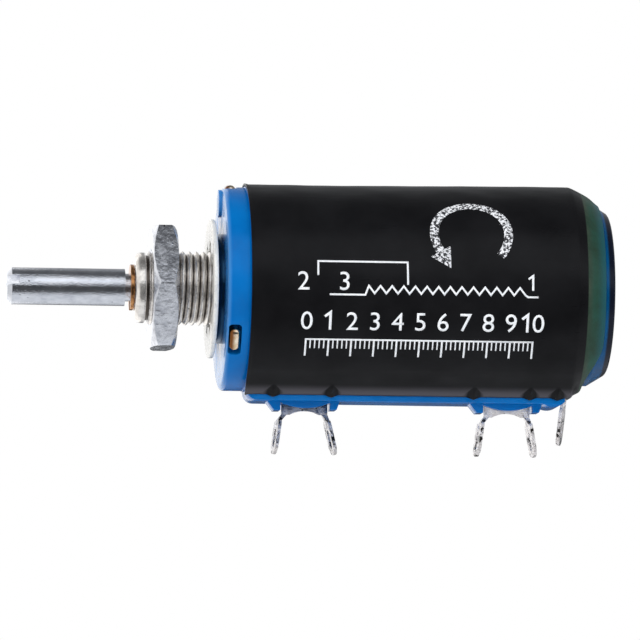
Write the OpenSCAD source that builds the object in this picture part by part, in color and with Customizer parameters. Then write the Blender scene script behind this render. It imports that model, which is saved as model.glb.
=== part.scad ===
// Ten-turn wirewound precision potentiometer with a panel bushing, a round
// shaft and three solder terminals along a moulded rail.
// The axis of the shaft is X. The front face of the body is at x = 0, the
// shaft points to -X, the terminals hang to -Z. All sizes are millimetres.

/* [Body] */
// Outside diameter of the moulded housing, under its film
body_d = 22.2; // [21.8:0.1:24]
// Wall of the housing round the bore in which the element lies
wall_t = 1.4; // [1:0.1:1.8]
// How far the bare front rim lies below the housing, on the radius
rim_step = 0.1; // [0:0.05:0.3]
// Length of the bare rim, up to the edge of the film
rim_l = 2.45; // [2.3:0.05:3.2]
// Radius on the rim's front edge
rim_round = 0.5; // [0.2:0.05:0.7]
// Thickness of the front cap's disc
cap_disc_t = 2.2; // [2.1:0.05:2.3]
// How far the spigots of both caps reach into the bore
spigot_l = 1.55; // [1.2:0.05:1.8]
// Wall of both spigots
spigot_t = 1.35; // [1.1:0.05:1.4]
// Diameter of the low locating boss on the front face
boss_d = 3; // [2:0.1:3.2]
// Height of the locating boss
boss_h = 0.3; // [0.2:0.05:0.6]
// Distance of the locating boss's middle from the edge of the rim
boss_inset = 1.75; // [1.7:0.05:2.2]

/* [Rear cap] */
// Length of the rear cap behind the seam
rear_l = 4.7; // [4.4:0.1:6]
// Length of the full-diameter lip behind the seam
rear_lip = 0.4; // [0.3:0.1:0.6]
// Drop of the first taper, from the housing down to the collar
collar_step = 1.15; // [0.7:0.05:1.4]
// Length of the first taper
taper_l = 1.3; // [1:0.1:1.6]
// Length of the straight collar
collar_l = 1; // [0.6:0.1:1.2]
// How far the edge of the flat back lies inside the housing's outside
back_step = 2.7; // [2.5:0.1:3.3]
// Radius on the back edge
back_round = 0.6; // [0.3:0.1:0.8]
// Thickness of the back wall
back_t = 2; // [1.6:0.1:2.2]

/* [Film sleeve] */
// Thickness of the film
film_t = 0.25; // [0.15:0.05:0.4]
// Length of the film's shrunk tail behind the seam
tail_l = 3.6; // [3.2:0.1:3.8]
// Strip of the rail's sides that the film leaves bare
film_edge = 0.55; // [0.4:0.05:0.7]

/* [Terminal rail] */
// Half of the rail's width
rail_hw = 3; // [2.6:0.1:3.4]
// How far the rail's underside stands below the round housing
rail_proud = 1.05; // [0.9:0.05:1.3]
// Distance of the rail's front end from the front face
rail_start = 2.7; // [2.6:0.05:3.4]
// Radius on the rail's front end
rail_round = 1.1; // [0.6:0.1:1.4]
// Chamfer along the rail's lower edges
rail_chamfer = 0.3; // [0.1:0.05:0.5]
// Radius of the rounded heel at the rail's rear end
heel_r = 1.75; // [1.6:0.05:1.9]
// How far the heel stands below the rail
heel_drop = 0.35; // [0.2:0.05:0.4]

/* [Bushing] */
// Outside diameter of the thread
thread_d = 8; // [7.6:0.1:8.4]
// Step from the thread's outside down to the nose
nose_step = 0.2; // [0.2:0.05:0.6]
// Length of the nose
nose_l = 1.45; // [1.2:0.05:1.8]
// Reach of the bushing in front of the front face
bush_reach = 9.35; // [8:0.05:12]
// Chamfer on the nose
nose_chamfer = 0.4; // [0.2:0.05:0.6]
// Diameter of the shoulder under the washer
shoulder_d = 11.8; // [10.5:0.1:12.5]
// Height of the shoulder in front of the front face
shoulder_h = 0.76; // [0.5:0.02:1]
// Running clearance round the shaft, on the radius
run_clear = 0.05; // [0.03:0.01:0.08]
// Thickness of the brass plate with three ears
plate_t = 1.2; // [1:0.05:1.3]
// Plastic skin in front of the plate
skin_t = 0.25; // [0.2:0.05:0.4]
// Width of an ear of the plate
ear_w = 2.8; // [2.6:0.1:3.2]
// How far an ear stands proud of the housing
ear_proud = 0.15; // [0:0.05:0.3]
// Gap round an ear in its window, along the rim
window_gap = 0.45; // [0.3:0.05:0.5]
// Length of the bushing's tail behind the plate
tail_reach = 2.15; // [1.9:0.05:2.3]

/* [Nut and washer] */
// Width of the nut across its flats
nut_af = 13; // [12:0.1:14]
// Thickness of the nut
nut_t = 2.7; // [2.2:0.1:3.2]
// How far the nut's front lies behind the nose
nut_inset = 1.75; // [1.5:0.05:2]
// Clearance between nut and thread, on the radius
nut_clear = 0.05; // [0.03:0.01:0.08]
// Width of the lock washer outside the thread
washer_w = 3.5; // [2.5:0.1:4]
// Thickness of the lock washer
washer_t = 0.5; // [0.4:0.05:0.7]
// Number of inner teeth on the lock washer
washer_teeth = 8; // [6:1:10]

/* [Shaft] */
// Diameter of the shaft
shaft_d = 4; // [3.6:0.1:4.2]
// Length of the shaft in front of the clip groove
shaft_reach = 12.7; // [8:0.1:20]
// Chamfer on the tip
tip_chamfer = 0.5; // [0.2:0.05:0.7]
// Width of the screwdriver slot
slot_w = 1; // [0.8:0.05:1.2]
// Depth of the screwdriver slot
slot_depth = 1.3; // [0.8:0.1:2]
// Depth of the clip groove
groove_depth = 0.5; // [0.3:0.05:0.7]
// Width of the clip groove
groove_w = 1; // [0.8:0.05:1.4]
// How far the retaining clip stands proud of the shaft
clip_proud = 0.5; // [0.4:0.05:0.8]
// Thickness of the retaining clip
clip_t = 0.4; // [0.3:0.05:0.5]
// Thickness of the thrust washer behind the bushing
thrust_t = 0.4; // [0.3:0.05:0.45]

/* [Element] */
// Number of turns
turns = 10; // [5:1:10]
// Advance of the element in one turn
pitch = 2.2; // [2.1:0.05:2.6]
// Diameter of the wound element
element_d = 1.1; // [0.9:0.05:1.15]
// Distance of the first tap from the front face
tap_x = 9.2; // [8.6:0.1:10]
// Distance from the last tap back to the rear seam
rear_room = 6; // [5.8:0.1:7]

/* [Rotor and wiper] */
// Gap between the rotor's end discs and the stop pins
disc_clear = 0.2; // [0.1:0.05:0.4]
// Step from the rotor's end discs down to its drum
drum_step = 0.4; // [0.2:0.1:0.6]
// Width of the guide slot in the rotor
guide_slot_w = 3; // [2.6:0.1:3.2]
// Diameter of the collector rod
rod_d = 1; // [0.8:0.05:1.1]
// Sliding clearance of the wiper carriage
slide_clear = 0.07; // [0.05:0.01:0.1]
// Edge of the rotor's rear disc outside the slip ring
ring_edge = 0.7; // [0.5:0.1:1]
// Thickness of the slip ring
ring_t = 0.4; // [0.3:0.05:0.5]

/* [Terminals] */
// Thickness of the terminal plate
tag_t = 0.4; // [0.3:0.05:0.5]
// Radius of the arch between the legs of a terminal
arch_r = 3.2; // [3:0.05:3.4]
// Half of the width of the arched web
web_hw = 2.5; // [2.4:0.05:2.6]
// Depth of the arch's crown below the rail
crown_drop = 0.95; // [0.85:0.05:1.1]
// How far the tips of the two-legged terminals hang below the rail
tip_hang = 5.65; // [5:0.05:8]
// Width of a leg at its eyelet
eyelet_w = 2.2; // [2:0.1:2.6]
// Width of the eyelet hole
eyelet_hole_w = 0.9; // [0.7:0.05:1.1]
// Length of the eyelet hole
eyelet_hole_l = 2; // [1.4:0.1:2.4]
// Lean of the front leg of both terminals
front_leg_lean = 8; // [4:0.5:12]
// Lean of the front terminal's rear leg
rear_leg_lean = 13.5; // [6:0.5:15]
// Lean of the rear terminal's rear leg
end_leg_lean = 9.5; // [4:0.5:12]
// How far the wiper terminal's tip hangs below the rail
wiper_tip_hang = 4.35; // [3.8:0.05:6]

/* [Hidden] */
$fn = 96;
eps = 0.01;

// Radii that several pieces share
body_r = body_d / 2;
bore_r = body_r - wall_t;
rim_r = body_r - rim_step;
ear_r = body_r + ear_proud;
boss_pitch_r = rim_r - boss_inset;
collar_r = body_r - collar_step;
back_r = body_r - back_step;
shaft_r = shaft_d / 2;
groove_r = shaft_r - groove_depth;
clip_r = shaft_r + clip_proud;
thread_r = thread_d / 2;
nose_r = thread_r - nose_step;
film_r = body_r + film_t;
seat_clear = 0.03;
spigot_r = bore_r - seat_clear;

// Depths below the axis
rail_drop = body_r + rail_proud;
film_drop = rail_drop - film_edge;
tip_drop = rail_drop + tip_hang;
wiper_tip_drop = rail_drop + wiper_tip_hang;

// Stations of the bushing, from the nose to the tail
nose_x = -bush_reach;
thread_x = nose_x + nose_l;
plate_x = skin_t;
plate_back_x = plate_x + plate_t;
stake_t = 0.55;
step_r = thread_r + 0.6;
stake_r = step_r + 0.7;
tail_r = thread_r + 0.4;
tail_x = plate_back_x + tail_reach;
bush_bore_r = shaft_r + run_clear;

// Stations of the shaft
clip_play = 0.05;
groove_back_x = nose_x - clip_play / 2;
groove_front_x = groove_back_x - groove_w;
shaft_tip_x = groove_front_x - shaft_reach;

// Ten turns of the element, tapped at its two ends at the bottom
element_r = element_d / 2;
coil_r = bore_r - seat_clear - element_r;
coil_over = 10;
coil_step = 12;
coil_sides = 6;
travel = turns * pitch;
last_tap_x = tap_x + travel;
housing_l = last_tap_x + rear_room;

// The carriage reaches from in front of its contact to behind its guide
carriage_front = 1.1;
guide_t = 0.7;
carriage_back = pitch / 2 + guide_t / 2 + 0.35;
carriage_l = carriage_front + carriage_back;
contact_reach_r = coil_r - element_r - 0.1;
carriage_top_r = contact_reach_r - 0.6;
guide_r = coil_r - 0.17;
guide_w = 1.2;

// Stops at both ends of the ten turns
stop_clear = 0.12;
stop_pin_r = 0.55;
stop_pitch_r = carriage_top_r - 0.52;
stop_angle = asin((guide_slot_w / 2 + stop_pin_r + stop_clear) / stop_pitch_r);

// Stations of the rotor
thrust_play = 0.05;
rotor_x = tail_x + thrust_t + 2 * thrust_play;
slot_margin = 0.4;
slot_front_x = tap_x - carriage_front - slot_margin;
slot_back_x = last_tap_x + carriage_back + slot_margin;
rear_disc_t = 1.3;
rotor_back_x = slot_back_x + rear_disc_t;
disc_r = stop_pitch_r - stop_pin_r - disc_clear;
drum_r = disc_r - drum_step;
rear_disc_x = slot_back_x - 0.2;
ring_x = rotor_back_x - ring_t / 2;
ring_back_x = ring_x + ring_t;
press_clear = 0.02;
slot_floor_r = shaft_r + 0.6;
ring_r = disc_r - ring_edge;
ring_bore_r = (shaft_r + ring_r) / 2 - 0.25;
track_r = (ring_bore_r + ring_r) / 2;
pin_d = 1;
pin_x = (rotor_x + slot_front_x) / 2;

// Stations of the rear cap and its bearing
lip_x = housing_l + rear_lip;
back_x = housing_l + rear_l;
collar_x = lip_x + taper_l;
slope_x = collar_x + collar_l;
rear_edge = arc([back_x - back_round, back_r], back_round, 50, 0);
cavity_x = back_x - back_t;
rear_spigot_x = housing_l - spigot_l;
rear_bore_r = spigot_r - spigot_t;
bearing_r = shaft_r + 1;
hub_r = bearing_r + 0.8;
hub_x = ring_back_x + 0.6;
bearing_l = 3.4;
bearing_x = hub_x + bearing_l;
shaft_end_x = bearing_x - 0.3;
hub_pocket = 0.5;

// Rail, pads and posts
rail_back_x = housing_l;
heel_x = rail_back_x - 1.3;
pad_r = 6.5;
pad_drop = crown_drop - 0.25;
pad_hw = 1.6;
post_hw = 1.4;
post_gap = 0.2;
slot_clear = 0.05;
tongue_w = 2;
crown_z = -rail_drop - crown_drop;
web_end_z = crown_z - 0.4;
neck_z = crown_z - 1.1;
front_leg_out = 0.2;
rear_leg_out = -0.2;
leg_t = 0.35;
neck_w = 1.25;
leg_twist = 8;

// Wiper terminal in the rear seam
wiper_inner_w = 2.2;
wiper_outer_w = 2.4;
wiper_lean = 7;
wiper_twist = 15;
wiper_top_r = rear_bore_r - 2.5;
wiper_bend_z = -film_drop - 0.4;
brush_t = 0.2;
brush_w = 1.3;
brush_gap = 0.05;
brush_top_z = 1.72 - rear_bore_r;
brush_foot_z = 0.22 - rear_bore_r;
rivet_z = (brush_top_z + brush_foot_z) / 2;
rivet_r = 0.4;
rivet_head_r = 0.6;
rivet_head_t = 0.2;

// A point of the element's surface, s degrees after the first tap
function coil_point(s, k) =
    let (around = -90 + s,
         side = 360 * k / coil_sides,
         r = coil_r + element_r * cos(side))
    [tap_x + pitch * s / 360 + element_r * sin(side), r * cos(around), r * sin(around)];

// Points of an arc, from one angle to another
function arc(c, r, from, to, n = 6) =
    [for (i = [0 : n]) let (a = from + (to - from) * i / n) [c[0] + r * cos(a), c[1] + r * sin(a)]];

// Angle from straight down at which a line through p touches a circle
function touch_angle(p, r) = atan(p[0] / -p[1]) + acos(r / norm(p));

// Turns a profile of [x, radius] points round the shaft's axis
module turned(points) {
    rotate([0, 90, 0])
        rotate_extrude()
            polygon([for (p = points) [p[1], p[0]]]);
}

// A rod along the axis between two stations
module rod_x(r, from, to) {
    translate([from, 0, 0])
        rotate([0, 90, 0])
            cylinder(r = r, h = to - from);
}

// A section in the YZ plane, carried along X
module along_x(from, to) {
    translate([from, 0, 0])
        rotate([90, 0, 90])
            linear_extrude(to - from) children();
}

// A side view in the XZ plane, as wide as w about the middle plane
module across_y(w) {
    rotate([90, 0, 0])
        linear_extrude(w, center = true) children();
}

// A prism at each of the plate's three ears, pointing outwards, as thick as t
// along the axis and as wide as w along the rim, with rounded corners
module ear_prisms(t, w, corner, from_r, to_r) {
    for (i = [0 : 2])
        rotate([95 + 120 * i, 0, 0])
            translate([plate_x + plate_t / 2, from_r, 0])
                rotate([-90, 0, 0])
                    linear_extrude(to_r - from_r) {
                        square([t, w - 2 * corner], center = true);
                        square([t - 2 * corner, w], center = true);
                        for (sx = [-1, 1], sy = [-1, 1])
                            translate([sx * (t / 2 - corner), sy * (w / 2 - corner)]) circle(corner);
                    }
}

// Sections of the ears, with round shoulders towards the rim
module ear_sections() {
    shoulder = 0.9;
    half = ear_w / 2;
    for (i = [0 : 2])
        rotate(95 + 120 * i) {
            translate([step_r + 1, -half]) square([ear_r - shoulder - step_r - 1, ear_w]);
            translate([step_r + 1, -half + shoulder]) square([ear_r - step_r - 1, ear_w - 2 * shoulder]);
            for (side = [-1, 1])
                translate([ear_r - shoulder, side * (half - shoulder)]) circle(shoulder);
        }
}

// The brass plate behind the front skin, with a domed ear in each window
module plate_shape() {
    plate_r = rim_r - 2.7;
    dome = plate_t / 2;
    difference() {
        union() {
            rod_x(plate_r, plate_x, plate_back_x);
            intersection() {
                along_x(plate_x, plate_back_x) ear_sections();
                ear_prisms(plate_t, ear_w, dome - 0.1, step_r + 1, ear_r + 1);
                turned(concat([[plate_x, 0]],
                              arc([plate_x + dome, ear_r - dome], dome, 165, 15),
                              [[plate_back_x, 0]]));
            }
        }
        rod_x(step_r, plate_x - 1, plate_back_x + 1);
    }
}

// Outer form of the threaded bushing, without its bore
module bushing_shape() {
    undercut = 0.3;
    turned([[nose_x, 0], [nose_x, nose_r - nose_chamfer],
            [nose_x + nose_chamfer, nose_r], [thread_x - undercut, nose_r],
            [thread_x - undercut, nose_r - undercut], [thread_x, nose_r - undercut],
            [thread_x + undercut, thread_r], [-shoulder_h, thread_r],
            [-shoulder_h, shoulder_d / 2], [plate_x, shoulder_d / 2],
            [plate_x, step_r], [plate_back_x, step_r],
            [plate_back_x, stake_r], [plate_back_x + stake_t, stake_r],
            [plate_back_x + stake_t, tail_r], [tail_x, tail_r], [tail_x, 0]]);
}

// The stop pin, seated in the back of the front cap
module stop_pin_shape() {
    seat_depth = 0.6;
    reach = tap_x - carriage_front + pitch - 0.6;
    rotate([-stop_angle, 0, 0])
        translate([0, 0, -stop_pitch_r])
            rod_x(stop_pin_r, cap_disc_t - seat_depth, reach);
}

// The front cap is moulded round the bushing, its plate and the stop pin
module front_cap() {
    window_clear = 0.1;
    color("dodgerblue")
    difference() {
        union() {
            turned(concat([[0, 0], [0, rim_r - rim_round]],
                          arc([rim_round, rim_r - rim_round], rim_round, 180, 90),
                          [[rim_l, rim_r], [rim_l, spigot_r],
                           [rim_l + spigot_l, spigot_r],
                           [rim_l + spigot_l, spigot_r - spigot_t],
                           [cap_disc_t, spigot_r - spigot_t], [cap_disc_t, 0]]));
            translate([0, 0, boss_pitch_r]) rod_x(boss_d / 2, -boss_h, rim_round);
        }
        plate_shape();
        bushing_shape();
        ear_prisms(plate_t + 2 * window_clear, ear_w + 2 * window_gap, 0.4, rim_r - 1.4, rim_r + 1.5);
        stop_pin_shape();
    }
}

// Side view of the rail, with its round front end and its heel
module rail_side() {
    polygon(concat([[rail_start, 0]],
                   arc([rail_start + rail_round, -rail_drop + rail_round], rail_round, 180, 270),
                   [[heel_x, -rail_drop], [rail_back_x, -rail_drop + 0.9], [rail_back_x, 0]]));
    intersection() {
        translate([heel_x, -rail_drop - heel_drop + heel_r]) circle(heel_r);
        translate([heel_x - heel_r, -rail_drop - heel_drop]) square([rail_back_x - heel_x + heel_r, 2]);
    }
}

// End view of the rail, with chamfered lower edges
module rail_end() {
    low = -rail_drop - heel_drop;
    polygon([[-rail_hw, 0], [-rail_hw, low + rail_chamfer], [-rail_hw + rail_chamfer, low],
             [rail_hw - rail_chamfer, low], [rail_hw, low + rail_chamfer], [rail_hw, 0]]);
}

// A post beside a terminal: square towards the terminal, sloped away from it
module post(x, dir, top_w, slope, drop) {
    translate([x, 0, 0])
        across_y(2 * post_hw)
            polygon([[0, -rail_drop + 0.5], [0, -rail_drop - drop],
                     [dir * top_w, -rail_drop - drop],
                     [dir * (top_w + slope), -rail_drop],
                     [dir * (top_w + slope), -rail_drop + 0.5]]);
}

// Pad and posts that hold one terminal, and the slot for its tongue
module terminal_seat(x) {
    across_y(2 * pad_hw)
        translate([x, -rail_drop - pad_drop + pad_r]) circle(pad_r);
    post(x - web_hw - post_gap, -1, 0.7, 0.75, 0.95);
    post(x + web_hw + post_gap, 1, 0.7, 0.3, 0.85);
}

module terminal_slot(x) {
    translate([x - web_hw - slot_clear, -tag_t / 2 - slot_clear, -rail_drop - 2])
        cube([2 * (web_hw + slot_clear), tag_t + 2 * slot_clear, 2.6]);
    translate([x - tongue_w / 2 - slot_clear, -tag_t / 2 - slot_clear, -rail_drop])
        cube([tongue_w + 2 * slot_clear, tag_t + 2 * slot_clear, rail_drop - bore_r + 1]);
}

// The main tube of the body with the terminal rail moulded on
module housing() {
    color("dodgerblue")
    difference() {
        union() {
            rod_x(body_r, rim_l, housing_l);
            intersection() {
                across_y(2 * rail_hw) rail_side();
                along_x(rail_start, rail_back_x) rail_end();
            }
            terminal_seat(tap_x);
            terminal_seat(last_tap_x);
        }
        rod_x(bore_r, rim_l - 1, housing_l + 1);
        terminal_slot(tap_x);
        terminal_slot(last_tap_x);
    }
}

// Outline of the rear cap behind the seam, as [x, radius] points
function rear_outline() =
    concat([[housing_l, body_r], [lip_x, body_r], [collar_x, collar_r], [slope_x, collar_r]],
           rear_edge, [[back_x, 0]]);

// The rear cap carries the bearing and the rear stop, and closes the seam
module rear_cap() {
    stop_reach = last_tap_x + carriage_back - pitch + 0.5;
    color("royalblue")
    difference() {
        union() {
            difference() {
                turned(concat([[rear_spigot_x, 0], [rear_spigot_x, spigot_r],
                               [housing_l, spigot_r]], rear_outline()));
                rod_x(rear_bore_r, rear_spigot_x - 1, cavity_x);
            }
            rod_x(hub_r, hub_x, cavity_x + eps);
            intersection() {
                rotate([stop_angle, 0, 0])
                    translate([stop_reach, -stop_pin_r, -rear_bore_r - 0.3])
                        cube([rear_spigot_x - stop_reach + 0.5, 2 * stop_pin_r, 1.5]);
                rod_x(rear_bore_r, stop_reach - 1, rear_spigot_x + eps);
            }
        }
        rod_x(bearing_r, hub_x - 1, bearing_x);
        rod_x(shaft_r + 0.4, hub_x - 1, bearing_x + hub_pocket);
        translate([housing_l - eps, -wiper_inner_w / 2 - slot_clear, -film_drop - 1])
            cube([tag_t + slot_clear + eps, wiper_inner_w + 2 * slot_clear, film_drop + 1 - rear_bore_r + 0.5]);
    }
}

// Section of the film: a circle drawn down to the rail's two edges
module film_section(r, edge_y) {
    edge = [edge_y, -film_drop];
    a = touch_angle(edge, r);
    circle(r);
    polygon([[-r * sin(a), -r * cos(a)], [-edge_y, -film_drop],
             [edge_y, -film_drop], [r * sin(a), -r * cos(a)]]);
}

// Radius of the rear cap's last slope at a station
function slope_r(x) =
    collar_r - (x - slope_x) * (collar_r - rear_edge[0][1]) / (rear_edge[0][0] - slope_x);

// A solid with the form of the film's shrunk rear end: it bridges the collar
// and lies on the slope behind it. t is the film's thickness, or 0 inside
module tail_solid(t, last_x) {
    lift = 0.05;
    bridge = [[0, 0], [0.3, 0.26], [0.65, 0.57], [1, 0.95]];
    end_x = housing_l + tail_l;
    end_r = slope_r(end_x) + lift + t;
    turned(concat([[lip_x - 1, 0]],
                  [for (p = bridge)
                      [lip_x + p[0] * (slope_x - lip_x), body_r + t - p[1] * collar_step]],
                  [[end_x, end_r], [last_x, end_r], [last_x, 0]]));
}

// The printed film is shrunk over the body and round the rear corner
module film_sleeve() {
    end_x = housing_l + tail_l;
    color([0.06, 0.06, 0.07])
    difference() {
        union() {
            along_x(rim_l, lip_x) film_section(film_r, rail_hw + film_t);
            tail_solid(film_t, end_x);
        }
        along_x(rim_l - 1, lip_x) film_section(body_r, rail_hw);
        tail_solid(0, end_x + 1);
        along_x(rim_l - 1, lip_x)
            translate([-rail_hw, -film_drop - 1]) square([2 * rail_hw, film_drop]);
        translate([lip_x - 0.5, -wiper_outer_w / 2, -film_drop - 1])
            cube([0.6, wiper_outer_w, 3]);
    }
}

// Nickel-plated brass bushing with a running bore
module bushing() {
    color("silver")
    difference() {
        bushing_shape();
        rod_x(bush_bore_r, nose_x - 1, tail_x + 1);
    }
}

module ear_plate() {
    color("goldenrod") plate_shape();
}

// Washer with inner teeth, loose on the thread
module lock_washer() {
    tooth_r = thread_r + 0.15;
    root_r = thread_r + 1.2;
    gap_w = 1.5;
    x = -shoulder_h - washer_t;
    color("gainsboro")
    along_x(x, -shoulder_h)
        difference() {
            circle(thread_r + washer_w);
            circle(tooth_r);
            for (i = [0 : washer_teeth - 1])
                rotate((i + 0.5) * 360 / washer_teeth)
                    translate([0, -gap_w / 2]) square([root_r, gap_w]);
        }
}

// Hexagon nut with both ends chamfered, a corner towards -Y
module mounting_nut() {
    x0 = nose_x + nut_inset;
    x1 = x0 + nut_t;
    corner_r = nut_af / 2 / cos(30);
    face_r = nut_af / 2 - 0.1;
    bevel = (corner_r - face_r) * tan(30);
    hole_r = thread_r + nut_clear;
    sink = 0.35;
    color("silver")
    difference() {
        intersection() {
            along_x(x0, x1) circle(corner_r, $fn = 6);
            turned([[x0, 0], [x0, face_r], [x0 + bevel, corner_r],
                    [x1 - bevel, corner_r], [x1, face_r], [x1, 0]]);
        }
        turned([[x0 - 1, 0], [x0 - 1, hole_r + sink + 1], [x0 + sink, hole_r],
                [x1 - sink, hole_r], [x1 + 1, hole_r + sink + 1], [x1 + 1, 0]]);
    }
}

// Plated shaft with a slotted tip, a clip groove and a cross hole
module shaft() {
    color("silver")
    difference() {
        turned([[shaft_tip_x, 0], [shaft_tip_x, shaft_r - tip_chamfer],
                [shaft_tip_x + tip_chamfer, shaft_r], [groove_front_x, shaft_r],
                [groove_front_x, groove_r], [groove_back_x, groove_r],
                [groove_back_x, shaft_r], [shaft_end_x - 0.3, shaft_r],
                [shaft_end_x, shaft_r - 0.3], [shaft_end_x, 0]]);
        rotate([-17, 0, 0])
            translate([shaft_tip_x - 1, -shaft_d, -slot_w / 2])
                cube([slot_depth + 1, 2 * shaft_d, slot_w]);
        translate([pin_x, 0, 0])
            rotate([90, 0, 0]) cylinder(d = pin_d + 2 * press_clear, h = 2 * shaft_d, center = true);
    }
}

// Split ring in the groove, against the bushing's nose
module retaining_clip() {
    gap = 1.2;
    color("chocolate")
    difference() {
        rod_x(clip_r, nose_x - clip_play - clip_t, nose_x - clip_play);
        rod_x(groove_r + press_clear, nose_x - 3, nose_x);
        translate([nose_x - 3, -gap / 2, -2 * clip_r]) cube([3, gap, 2 * clip_r]);
    }
}

module thrust_washer() {
    x = tail_x + thrust_play;
    color("peru")
    difference() {
        rod_x(tail_r, x, x + thrust_t);
        rod_x(shaft_r + 0.15, x - 1, x + thrust_t + 1);
    }
}

// Cross pin that ties the shaft to the rotor
module drive_pin() {
    color("silver")
    translate([pin_x, 0, 0])
        rotate([90, 0, 0])
            cylinder(d = pin_d, h = 2 * disc_r - 0.6, center = true);
}

module rear_bearing() {
    color("goldenrod")
    difference() {
        rod_x(bearing_r, hub_x, bearing_x);
        rod_x(shaft_r + run_clear, hub_x - 1, bearing_x + 1);
    }
}

// Moulded rotor: a drum between two discs, with the carriage's guide slot
module rotor() {
    color("ivory")
    difference() {
        union() {
            rod_x(disc_r, rotor_x, slot_front_x);
            rod_x(drum_r, slot_front_x - eps, rear_disc_x + eps);
            rod_x(disc_r, rear_disc_x, rotor_back_x);
        }
        rod_x(shaft_r + press_clear, rotor_x - 1, rotor_back_x + 1);
        translate([slot_front_x, -guide_slot_w / 2, -2 * disc_r])
            cube([slot_back_x - slot_front_x, guide_slot_w, 2 * disc_r - slot_floor_r]);
        translate([0, 0, -track_r])
            rod_x(rod_d / 2 + press_clear, slot_front_x - 1.5, rotor_back_x + 1);
        translate([pin_x, 0, 0])
            rotate([90, 0, 0]) cylinder(d = pin_d + 2 * press_clear, h = 4 * disc_r, center = true);
        difference() {
            rod_x(ring_r + press_clear, ring_x, rotor_back_x + 1);
            rod_x(ring_bore_r - press_clear, ring_x - 1, rotor_back_x + 2);
        }
    }
}

module slip_ring() {
    color("gold")
    difference() {
        rod_x(ring_r, ring_x, ring_back_x);
        rod_x(ring_bore_r, ring_x - 1, ring_back_x + 1);
    }
}

// Rod along the guide slot, from the front disc to the slip ring
module collector_rod() {
    color("gold")
    translate([0, 0, -track_r])
        rod_x(rod_d / 2, slot_front_x - 1.5, ring_x);
}

// Block that slides in the rotor's slot and is led by its guide between turns
module wiper_carriage() {
    x0 = tap_x - carriage_front;
    half = guide_slot_w / 2 - slide_clear;
    floor_r = slot_floor_r + 0.15;
    guide_x = tap_x + pitch / 2 - guide_t / 2;
    color("white")
    difference() {
        union() {
            translate([x0, -half, -carriage_top_r])
                cube([carriage_l, 2 * half, carriage_top_r - floor_r]);
            translate([guide_x, -guide_w / 2, -guide_r])
                cube([guide_t, guide_w, guide_r - carriage_top_r + eps]);
        }
        translate([0, 0, -track_r])
            rod_x(rod_d / 2 + slide_clear, x0 - 1, x0 + carriage_l + 1);
    }
}

// Bowed spring on the carriage that rides on the element
module wiper_contact() {
    leaf = 0.15;
    foot = carriage_front - 0.1;
    top = carriage_top_r;
    crest = contact_reach_r;
    color("gold")
    across_y(0.9)
        translate([tap_x, 0])
            polygon([[-foot, -top], [-foot, -top - leaf], [-0.55, -top - leaf],
                     [-0.15, -crest + 0.03], [0, -crest], [0.15, -crest + 0.03],
                     [0.4, -crest + 0.25], [0.3, -crest + 0.33], [0.05, -crest + leaf],
                     [-0.05, -crest + leaf], [-0.45, -top]]);
}

// Spring washer that presses the carriage's contact on to the rod
module rod_spring() {
    x = tap_x + carriage_back;
    color("gold")
    translate([0, 0, -track_r])
        difference() {
            rod_x(rod_d / 2 + slide_clear + 0.2, x, x + 0.25);
            rod_x(rod_d / 2 + slide_clear, x - 1, x + 1);
        }
}

// Resistance wire wound on a core, laid in ten turns against the bore
module resistance_element() {
    last = floor((360 * turns + 2 * coil_over) / coil_step);
    step = (360 * turns + 2 * coil_over) / last;
    n = coil_sides;
    points = [for (i = [0 : last]) for (k = [0 : n - 1]) coil_point(-coil_over + i * step, k)];
    sides = [for (i = [0 : last - 1]) for (k = [0 : n - 1])
        let (a = i * n + k, b = i * n + (k + 1) % n) each [[a, b, b + n], [a, b + n, a + n]]];
    ends = [[for (k = [n - 1 : -1 : 0]) k], [for (k = [0 : n - 1]) last * n + k]];
    color("darkgoldenrod") polyhedron(points, concat(sides, ends));
}

// Outline of a leg with its long eyelet, hanging from the origin
module leg_outline(length, w, neck, hole_from_tip = 0.75) {
    difference() {
        union() {
            translate([-neck / 2, -length + w]) square([neck, length - w]);
            translate([-w / 2, -length + w / 2]) square([w, eyelet_hole_l]);
            translate([0, -length + w / 2]) circle(w / 2);
            translate([0, -length + w / 2 + eyelet_hole_l]) circle(w / 2);
        }
        for (z = [0, eyelet_hole_l - eyelet_hole_w])
            translate([0, -length + hole_from_tip + eyelet_hole_w / 2 + z])
                circle(eyelet_hole_w / 2);
        translate([-eyelet_hole_w / 2, -length + hole_from_tip + eyelet_hole_w / 2])
            square([eyelet_hole_w, eyelet_hole_l - eyelet_hole_w]);
    }
}

// A leg of a terminal, turned across the web and leaning outwards. A twisted
// stretch joins it to the web's lower corner
module leg(x, dir, lean, out) {
    length = (tip_drop + web_end_z) / cos(lean);
    blend = neck_z - web_end_z;
    corner_w = 0.6;
    translate([x + dir * (web_hw + out), 0, web_end_z])
        rotate([0, dir * -lean, leg_twist]) {
            difference() {
                translate([leg_t / 2, 0, 0])
                    rotate([90, 0, -90])
                        linear_extrude(leg_t) leg_outline(length, eyelet_w, neck_w);
                translate([-1, -1, blend]) cube([2, 2, -blend + 1]);
            }
        }
    hull() {
        translate([x + dir * (web_hw - corner_w / 2), 0, web_end_z])
            cube([corner_w, tag_t, eps], center = true);
        translate([x + dir * (web_hw + out), 0, web_end_z])
            rotate([0, dir * -lean, leg_twist])
                translate([0, 0, blend])
                    cube([leg_t, neck_w, 2 * eps], center = true);
    }
}

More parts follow.
